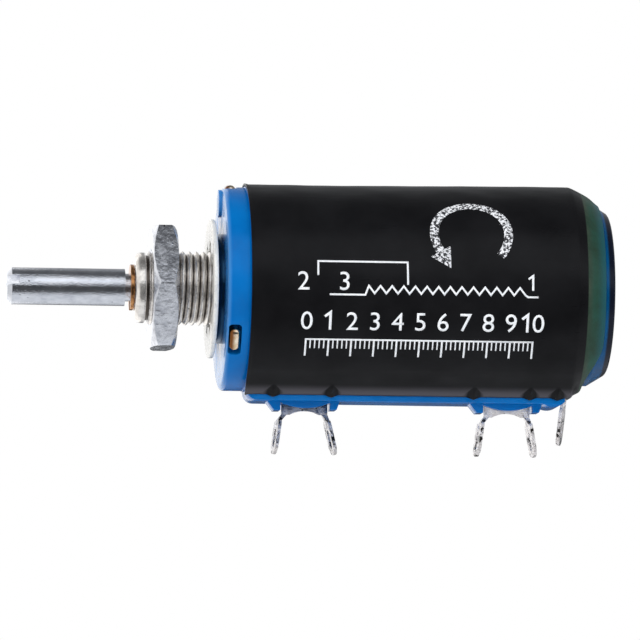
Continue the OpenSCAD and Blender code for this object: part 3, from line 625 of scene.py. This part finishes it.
section = [(PLATE_R[0], PLATE_X[0]), (PLATE_R[0], PLATE_X[1]),
           (PLATE_R[1], PLATE_X[1]), (PLATE_R[1], PLATE_X[0])]
points = [around(x, radius, 360 * k / PLATE_SIDES) for radius, x in section for k in range(PLATE_SIDES)]
faces = quads_between(len(section), PLATE_SIDES, closed=True)
middle_x = sum(PLATE_X) / 2
levels = [(EAR_ROOT, 0.0)]
for degrees in range(0, 90, 14):
    bend = math.radians(degrees)
    levels.append((EAR_TOP - DOME_R + DOME_R * math.sin(bend), DOME_R - DOME_R * math.cos(bend)))
for angle in EAR_ANGLES:
    start = len(points)
    for radius, inset in levels:
        outline = ear_outline(inset)
        points += [around(middle_x + u, radius, angle + math.degrees(v / EAR_TOP)) for u, v in outline]
    size = len(outline)
    faces += quads_between(len(levels), size, first=start)
    faces.append(tuple(range(start, start + size)))
    faces.append(tuple(range(len(points) - size, len(points))))
ears = piece_from("domed_ear_plate", points, faces)
keep_piece(ears, "brass_plate", "body", "ear_plate", sharp=50)

# %% [markdown]
# The film is a tube that was shrunk over the body. Its section is a circle
# that runs straight down to the two edges of the terminal rail. It could be a
# cloth simulation, but a shrunk film lies tight, so a radius given by station
# and angle is closer to the real thing. The same rule places the print. The
# small terms are what the heat did: a raised front edge, a lifted line at the
# upper rear, faint waves away from the print, and a tent over each post.

# %% Shape of the film
BODY_R = 11.1
FILM_T = 0.25
FILM_R = BODY_R + FILM_T
FILM_DROP = 11.6
RAIL_HALF = 3.0
RIM_END = 2.45
LIP_X = 37.6
SLIT_END = LIP_X + 0.1
TAIL_END = 40.8
TAIL_STEP = 1.65
TAIL_CURVE = 1.18
EDGE_LIFT = 0.1
LINE_LIFT = 0.24
WAVE = 0.035
TENT_HALF = 0.75
TENT_HEIGHT = 1.7
TENT_RISE = 0.3
EDGE_ANGLE = math.degrees(math.atan2(RAIL_HALF + FILM_T, FILM_DROP))
TOUCH_ANGLE = EDGE_ANGLE + math.degrees(math.acos(FILM_R / math.hypot(RAIL_HALF + FILM_T, FILM_DROP)))
print("film leaves the circle", round(TOUCH_ANGLE, 1), "degrees from below")


def smooth(low, high, value):
    share = min(1.0, max(0.0, (value - low) / (high - low)))
    return share * share * (3 - 2 * share)


def from_below(angle):
    """The angle from straight down, the same on both sides."""
    return min(angle % 360, 360 - angle % 360)


def tail_radius(x):
    share = max(0.0, (x - LIP_X) / (TAIL_END - LIP_X))
    return FILM_R - TAIL_STEP * share ** TAIL_CURVE


def film_radius(x, angle):
    """Outer radius of the film at a station and an angle from straight down."""
    low = from_below(angle)
    radius = tail_radius(x)
    if low < TOUCH_ANGLE:
        flat = radius / math.cos(math.radians(TOUCH_ANGLE - max(low, EDGE_ANGLE)))
        if low < EDGE_ANGLE:
            flat *= math.cos(math.radians(EDGE_ANGLE)) / math.cos(math.radians(low))
        radius += (flat - radius) * (1 - smooth(SLIT_END, LIP_X + 0.9, x))
    radius += EDGE_LIFT * (1 - smooth(RIM_END, RIM_END + 0.45, x))
    radius += LINE_LIFT * smooth(95, 150, low) * smooth(8, 36, x) * (1 - smooth(39.6, TAIL_END, x))
    away_from_print = smooth(118, 150, low) + (1 - smooth(38, 52, low))
    radius += WAVE * away_from_print * noise.noise(Vector((x * 0.35, low * 0.12, 3.0)))
    height = FILM_DROP * math.radians(low - EDGE_ANGLE)
    half = TENT_HALF * (1 - height / TENT_HEIGHT)
    if half > 0 and x < LIP_X:
        for post in POSTS:
            radius += TENT_RISE * max(0.0, 1 - abs(x - post) / half) * smooth(0.0, 0.25, half)
    return radius


# %% [markdown]
# The film itself is a grid of rows across and columns along. Its columns go
# once round from one edge of the rail to the other, and behind the rail's end
# they close under the body. Two rules bend the rows: the front edge runs back a
# little on the far side, and the tail ends further forward at the bottom, where
# the blue cap shows. A thickness is added inwards.

# %% Piece: shrunk film
FRONT_BAND = 0.6
CUT_BACK = 0.5
TAIL_LOW = 39.0
TAIL_MORE = 1.75
LAST_ANGLE = 178
FLANK_STEPS = 24
ROUND_STEPS = 46
CLOSING_STEPS = 10
LENGTH_STEPS = 190
FILM_WALL = 0.22


def front_station(angle, step):
    """Station of a point in the rows near the front edge, a step behind that edge."""
    cut_back = CUT_BACK * smooth(285, 320, angle)
    return RIM_END + cut_back + step * (FRONT_BAND - cut_back) / FRONT_BAND


def tail_station(angle, share):
    """Station of a point in the tail's rows, at a share of the tail's length there."""
    end = TAIL_LOW + TAIL_MORE * smooth(18, 52, from_below(angle))
    return SLIT_END + share * (end - SLIT_END)


def evenly(start, end, steps):
    """Values from the start, which is left out, to the end."""
    return [start + i * (end - start) / steps for i in range(1, steps + 1)]


flank_end = TOUCH_ANGLE + 2
half_round = [EDGE_ANGLE] + evenly(EDGE_ANGLE, flank_end, FLANK_STEPS)
half_round += evenly(flank_end, LAST_ANGLE, ROUND_STEPS)
columns = half_round + [360 - angle for angle in reversed(half_round)]
all_angles = columns + evenly(-EDGE_ANGLE, EDGE_ANGLE, CLOSING_STEPS)[:-1]
front_steps = (0, 0.04, 0.12, 0.25, 0.42, FRONT_BAND)
tail_shares = (0.02, 0.06, 0.12, 0.2, 0.28, 0.36, 0.45, 0.54, 0.63, 0.72, 0.8, 0.88, 0.94, 0.98, 1.0)
rows = [[(front_station(angle, step), angle) for angle in all_angles] for step in front_steps]
rows += [[(x, angle) for angle in all_angles] for x in evenly(RIM_END + FRONT_BAND, SLIT_END, LENGTH_STEPS)]
slit_rows = len(rows) - 1
rows += [[(tail_station(angle, share), angle) for angle in all_angles] for share in tail_shares]
width = len(all_angles)
points = [around(x, film_radius(x, angle), angle) for row in rows for x, angle in row]
faces = [quad for quad in quads_between(len(rows), width)
         if quad[0] >= slit_rows * width or quad[0] % width < len(columns) - 1]
film = piece_from("shrunk_film", points, faces)
shape = bmesh.new()
shape.from_mesh(film.data)
bmesh.ops.delete(shape, geom=[vert for vert in shape.verts if not vert.link_faces], context="VERTS")
shape.to_mesh(film.data)
shape.free()
sample = film.data.polygons[len(columns) // 2]
if sample.normal.dot(sample.center - Vector((sample.center.x, 0, 0))) < 0:
    film.data.flip_normals()
wall = film.modifiers.new("film thickness", "SOLIDIFY")
wall.thickness = FILM_WALL * MM
wall.offset = -1
keep_piece(film, "black_film", "body", "film_sleeve", sharp=60)

# %% [markdown]
# The print is generic: the usual sign of a resistor with its terminal numbers,
# a scale of ten turns and an arrow for turning. It is ink with a little
# thickness, drawn flat and then wrapped round the film. Long straight edges
# would cut through the round film, so the flat drawing is sliced first.

# %% Helpers for the print
CAP_SHARE = 0.7
SLICE = 0.25
INK_LIFT = 0.012
INK_WALL = 0.02


def ribbon(points, width):
    """A line of a given width through flat points, with mitred corners."""
    half = width / 2
    left = []
    right = []
    for i, point in enumerate(points):
        here = Vector(point)
        before = (here - Vector(points[i - 1])).normalized() if i else None
        after = (Vector(points[i + 1]) - here).normalized() if i + 1 < len(points) else None
        along = ((before or after) + (after or before)).normalized()
        across = Vector((-along.y, along.x))
        edge = Vector((-(before or after).y, (before or after).x))
        reach = half / max(0.35, across.dot(edge))
        left.append(here + across * reach)
        right.append(here - across * reach)
    count = len(points)
    quads = [(i, i + 1, count + i + 1, count + i) for i in range(count - 1)]
    return left + right, quads


def drawn_one(x, middle, size):
    """A figure one with a flag, because the font's own is a bare bar."""
    half = size / 2
    return ribbon([(x - 0.26 * size, middle + 0.24 * size), (x + 0.04 * size, middle + half - 0.06),
                   (x + 0.04 * size, middle - half)], 0.14 * size)


def drawn_text(text, x, middle, size):
    """Digits of a given cap height, centred on a flat point."""
    curve = bpy.data.curves.new("digits", "FONT")
    curve.body = text
    curve.align_x = "CENTER"
    curve.align_y = "CENTER"
    curve.size = size / CAP_SHARE
    curve.resolution_u = 4
    carrier = new_object("digits", curve)
    bpy.context.view_layer.update()
    flat = carrier.to_mesh()
    centre_x = (min(v.co.x for v in flat.vertices) + max(v.co.x for v in flat.vertices)) / 2
    centre_y = (min(v.co.y for v in flat.vertices) + max(v.co.y for v in flat.vertices)) / 2
    corners = [Vector((x + v.co.x - centre_x, middle + v.co.y - centre_y)) for v in flat.vertices]
    quads = [tuple(polygon.vertices) for polygon in flat.polygons]
    carrier.to_mesh_clear()
    bpy.data.objects.remove(carrier)
    return corners, quads


def wrap_print(name, drawings, finish):
    """Slices flat drawings, wraps them round the film and gives them thickness."""
    shape = bmesh.new()
    for corners, quads in drawings:
        verts = [shape.verts.new((corner.x, 0, corner.y)) for corner in corners]
        for quad in quads:
            shape.faces.new([verts[i] for i in quad])
    bmesh.ops.remove_doubles(shape, verts=shape.verts, dist=0.0005)
    low = min(vert.co.z for vert in shape.verts)
    high = max(vert.co.z for vert in shape.verts)
    for i in range(int((high - low) / SLICE) + 1):
        level = low + 0.12 + SLICE * i
        everything = shape.verts[:] + shape.edges[:] + shape.faces[:]
        bmesh.ops.bisect_plane(shape, geom=everything, dist=0.0001, plane_co=(0, 0, level),
                               plane_no=(0, 0, 1))
    for vert in shape.verts:
        angle = 90 + math.degrees(vert.co.z / FILM_R)
        radius = film_radius(vert.co.x, angle) + INK_LIFT
        vert.co = Vector(around(vert.co.x, radius, angle)) * MM
    bmesh.ops.recalc_face_normals(shape, faces=shape.faces)
    for face in shape.faces:
        if face.normal.y > 0:
            face.normal_flip()
    mesh = bpy.data.meshes.new(name)
    shape.to_mesh(mesh)
    shape.free()
    obj = new_object(name, mesh)
    ink = obj.modifiers.new("ink thickness", "SOLIDIFY")
    ink.thickness = INK_WALL * MM
    ink.offset = -1
    keep_piece(obj, finish, "body")


# %% [markdown]
# The sign of a resistor is a zigzag between two straight ends, and the wiper is
# a line that comes down on it. Both ends and the wiper have the number of their
# terminal. Flat places are given as a station along the axis and a way up from
# the middle.

# %% Drawing: resistor sign with terminal numbers
LINE = 0.2
SIGN_V = -1.42
ZIG_START = 14.58
ZIG_STEP = 1.25
ZIGS = 14
ZIG_HIGH = -0.45
ZIG_LOW = -1.25
zigzag = [(10.77, SIGN_V), (ZIG_START, SIGN_V)]
for i in range(ZIGS):
    zigzag.append((ZIG_START + (i + 0.3) * ZIG_STEP, ZIG_HIGH))
    zigzag.append((ZIG_START + (i + 0.8) * ZIG_STEP, ZIG_LOW))
zigzag += [(32.1, SIGN_V), (33.2, SIGN_V)]
wiper_line = [(9.52, 0.63), (9.52, 2.15), (19.12, 2.15), (19.16, -0.3)]
sign = [ribbon(zigzag, LINE), ribbon(wiper_line, LINE)]
sign.append(drawn_text("2", 7.97, 0.03, 2.0))
sign.append(drawn_text("3", 12.37, 0.03, 2.0))
sign.append(drawn_one(32.55, 0.1, 1.65))

# %% [markdown]
# The scale has a long stroke and a number for each of the ten turns, and four
# short strokes between two numbers. Sign and scale are one piece of white ink.

# %% Piece: scale of ten turns
SCALE_START = 8.4
SCALE_V = -6.45
TURNS = 10
TURN_STEP = 2.44
STROKES = 5
LONG_STROKE = (2.1, LINE)
SHORT_STROKE = (1.1, 0.14)
NUMBER_V = -4.3
NUMBER_SIZE = 2.0
SCALE_END = SCALE_START + TURNS * TURN_STEP
scale = [ribbon([(SCALE_START - 0.1, SCALE_V), (SCALE_END + 0.1, SCALE_V)], LINE)]
for i in range(TURNS * STROKES + 1):
    x = SCALE_START + i * TURN_STEP / STROKES
    length, thickness = SHORT_STROKE if i % STROKES else LONG_STROKE
    scale.append(ribbon([(x, SCALE_V), (x, SCALE_V - length)], thickness))
for turn in range(TURNS):
    x = SCALE_START + turn * TURN_STEP
    if turn == 1:
        scale.append(drawn_one(x, NUMBER_V, NUMBER_SIZE))
    else:
        scale.append(drawn_text(str(turn), x, NUMBER_V, NUMBER_SIZE))
scale.append(drawn_one(SCALE_END - 0.75, NUMBER_V, NUMBER_SIZE))
scale.append(drawn_text("0", SCALE_END + 0.5, NUMBER_V, NUMBER_SIZE))
wrap_print("print", sign + scale, "white_ink")

# %% [markdown]
# The arrow is a wide bow with a triangle at its end. It shows which way the
# shaft is turned.

# %% Piece: turning arrow
ARROW_X = 26.1
ARROW_V = 5.6
ARROW_R = 4.0
BOW_WIDTH = 0.95
HEAD_HALF = 1.25
HEAD_LENGTH = 2.2
bow = [(ARROW_X + ARROW_R * math.cos(math.radians(a)), ARROW_V + ARROW_R * math.sin(math.radians(a)))
       for a in range(-40, 216, 4)]
last = Vector(bow[-1])
heading = (last - Vector(bow[-2])).normalized()
side = Vector((-heading.y, heading.x))
head = ([last + side * HEAD_HALF, last - side * HEAD_HALF, last + heading * HEAD_LENGTH], [(0, 1, 2)])
wrap_print("turning_arrow", [ribbon(bow, BOW_WIDTH), head], "dotted_ink")

# %% [markdown]
# The floor is a plain pale disc, well below the part, because the part is held
# by its bushing. The photograph's background is white, so the disc and the
# surroundings are nearly white too. The metals don't mirror the disc, because
# the surroundings already hold what they should show. The disc's underside is
# clear, so the terminals can be looked at from below.

# %% Stage: floor
FLOOR_Z = -60.0
FLOOR_R = 450
ring = [(FLOOR_R * math.cos(math.radians(a)), FLOOR_R * math.sin(math.radians(a)), FLOOR_Z)
        for a in range(0, 360, 5)]
floor = piece_from("floor", ring, [tuple(range(len(ring)))])
if floor.data.polygons[0].normal.z < 0:
    floor.data.flip_normals()
floor_paint = bpy.data.materials.new("pale floor")
floor_paint.use_nodes = True
tree = floor_paint.node_tree
shader = tree.nodes["Principled BSDF"]
tone = use(tree, cloudy_tone, {"Light": paint(246, 246, 248), "Dark": paint(242, 242, 245), "Patch": 60.0})
colour(tree, shader, tone.outputs["Colour"])
shader.inputs["Roughness"].default_value = 0.8
side_seen = tree.nodes.new("ShaderNodeNewGeometry")
clear = tree.nodes.new("ShaderNodeBsdfTransparent")
one_sided = add(tree, "MixShader", {0: side_seen.outputs["Backfacing"], 1: shader.outputs[0],
                                    2: clear.outputs[0]})
tree.links.new(one_sided.outputs[0], tree.nodes["Material Output"].inputs["Surface"])
floor.data.materials.append(floor_paint)
floor.visible_glossy = False

# %% [markdown]
# Polished metal shows the room it is in. The surroundings are a studio in
# bands round the shaft's axis: a bright box in front and above, a dark room at
# the level of the lens and overhead, and white below. A bright wall stands past
# the shaft's end, from the front round to the back. All this comes from the
# direction alone, and the lens sees plain white. Each band is an angle that is
# counted upwards from the lens's side, with a brightness.

# %% Light: surroundings
BANDS = [(-180, 0.12), (-163, 0.14), (-142, 0.75), (-125, 0.85), (-54, 0.85), (-44, 0.1), (8, 0.08),
         (20, 1.2), (50, 1.2), (64, 0.12), (105, 0.14), (130, 0.35), (180, 0.42)]
ROOM_STRENGTH = 2.0
COOL = (0.97, 1.0, 1.04)
world = bpy.data.worlds.new("studio")
bpy.context.scene.world = world
world.use_nodes = True
tree = world.node_tree
tree.nodes.clear()
coords = tree.nodes.new("ShaderNodeTexCoord")
split = add(tree, "SeparateXYZ", {0: coords.outputs["Generated"]})
forward = calc(tree, "MULTIPLY", split.outputs["Y"], -1.0)
climb = calc(tree, "ARCTAN2", split.outputs["Z"], forward)
bands = add(tree, "ValToRGB", {0: span(tree, climb, -math.pi, math.pi)})
stops = bands.color_ramp.elements
for index, (degrees, level) in enumerate(BANDS):
    place = (degrees + 180) / 360
    stop = stops[index] if index < 2 else stops.new(place)
    stop.position = place
    stop.color = (*[level / ROOM_STRENGTH * tint for tint in COOL], 1)
leftward = calc(tree, "MULTIPLY", split.outputs["X"], -1.0)
bearing = calc(tree, "ARCTAN2", leftward, forward)
beside = span(tree, bearing, math.radians(30), math.radians(58))
level_part = span(tree, calc(tree, "ABSOLUTE", split.outputs["Z"]), 0.9, 0.65)
wall = calc(tree, "MULTIPLY", beside, level_part)
wall_tone = span(tree, bearing, math.radians(120), math.radians(160), 0.48, 0.7)
studio = mix(tree, wall, bands.outputs[0], wall_tone)
room = add(tree, "Background", {"Color": studio, "Strength": ROOM_STRENGTH})
white = add(tree, "Background", {"Color": (1, 1, 1, 1), "Strength": 1.0})
sight = tree.nodes.new("ShaderNodeLightPath")
either = add(tree, "MixShader", {0: sight.outputs["Is Camera Ray"], 1: room.outputs[0], 2: white.outputs[0]})
end = tree.nodes.new("ShaderNodeOutputWorld")
tree.links.new(either.outputs[0], end.inputs["Surface"])

# %% [markdown]
# Soft lamps add shape to the plastic. They don't show in reflections, because
# the surroundings already draw those. The large one stands in front and above,
# a weaker one fills from the front, a small low one brightens the rail and the
# terminals, and one from behind lights the top edge. The middle of each is above
# the floor, because the floor keeps from the part what shines below it.


# %% Light: lamps
def lamp(name, place, aim, size, power):
    light = bpy.data.lights.new(name, "AREA")
    light.shape = "SQUARE"
    light.size = size * MM
    light.energy = power
    obj = new_object(name, light)
    obj.location = Vector(place) * MM
    direction = (Vector(aim) - Vector(place)).normalized()
    obj.rotation_euler = direction.to_track_quat("-Z", "Y").to_euler()
    obj.visible_glossy = False
    obj.visible_camera = False


lamp("key", (-120, -420, 380), (12, 0, 0), 260, 1.0)
lamp("fill", (60, -380, -50), (12, 0, -4), 300, 0.2)
lamp("low", (20, -110, -48), (18, 0, -13), 40, 0.018)
lamp("top_back", (60, 260, 420), (12, 0, 0), 300, 0.4)

# %% [markdown]
# The photograph was taken from slightly below and in front, with a long lens.
# The camera is set by its two angles and a distance, and the length of the
# lens follows from the width that the picture shows.

# %% Camera
AZIMUTH = math.radians(-5.7)
ELEVATION = math.radians(-5.0)
ROLL = math.radians(0.36)
DISTANCE = 800.0
VIEW_WIDTH = 69.19
AIM = Vector((10.86, 0.0, -3.2))
camera_data = bpy.data.cameras.new("camera")
camera_data.sensor_width = 36.0
camera_data.lens = camera_data.sensor_width * DISTANCE / VIEW_WIDTH
camera_data.clip_start = 10 * MM
camera_data.clip_end = 10.0
camera = new_object("camera", camera_data)
away = Vector((math.sin(AZIMUTH) * math.cos(ELEVATION), -math.cos(AZIMUTH) * math.cos(ELEVATION),
               math.sin(ELEVATION)))
camera.location = (AIM + away * DISTANCE) * MM
look = (-away).to_track_quat("-Z", "Y").to_matrix()
camera.rotation_euler = (look @ Matrix.Rotation(ROLL, 3, "Z")).to_euler()
bpy.context.scene.camera = camera
bpy.context.scene.view_settings.view_transform = "Standard"
print("lens", round(camera_data.lens), "mm")
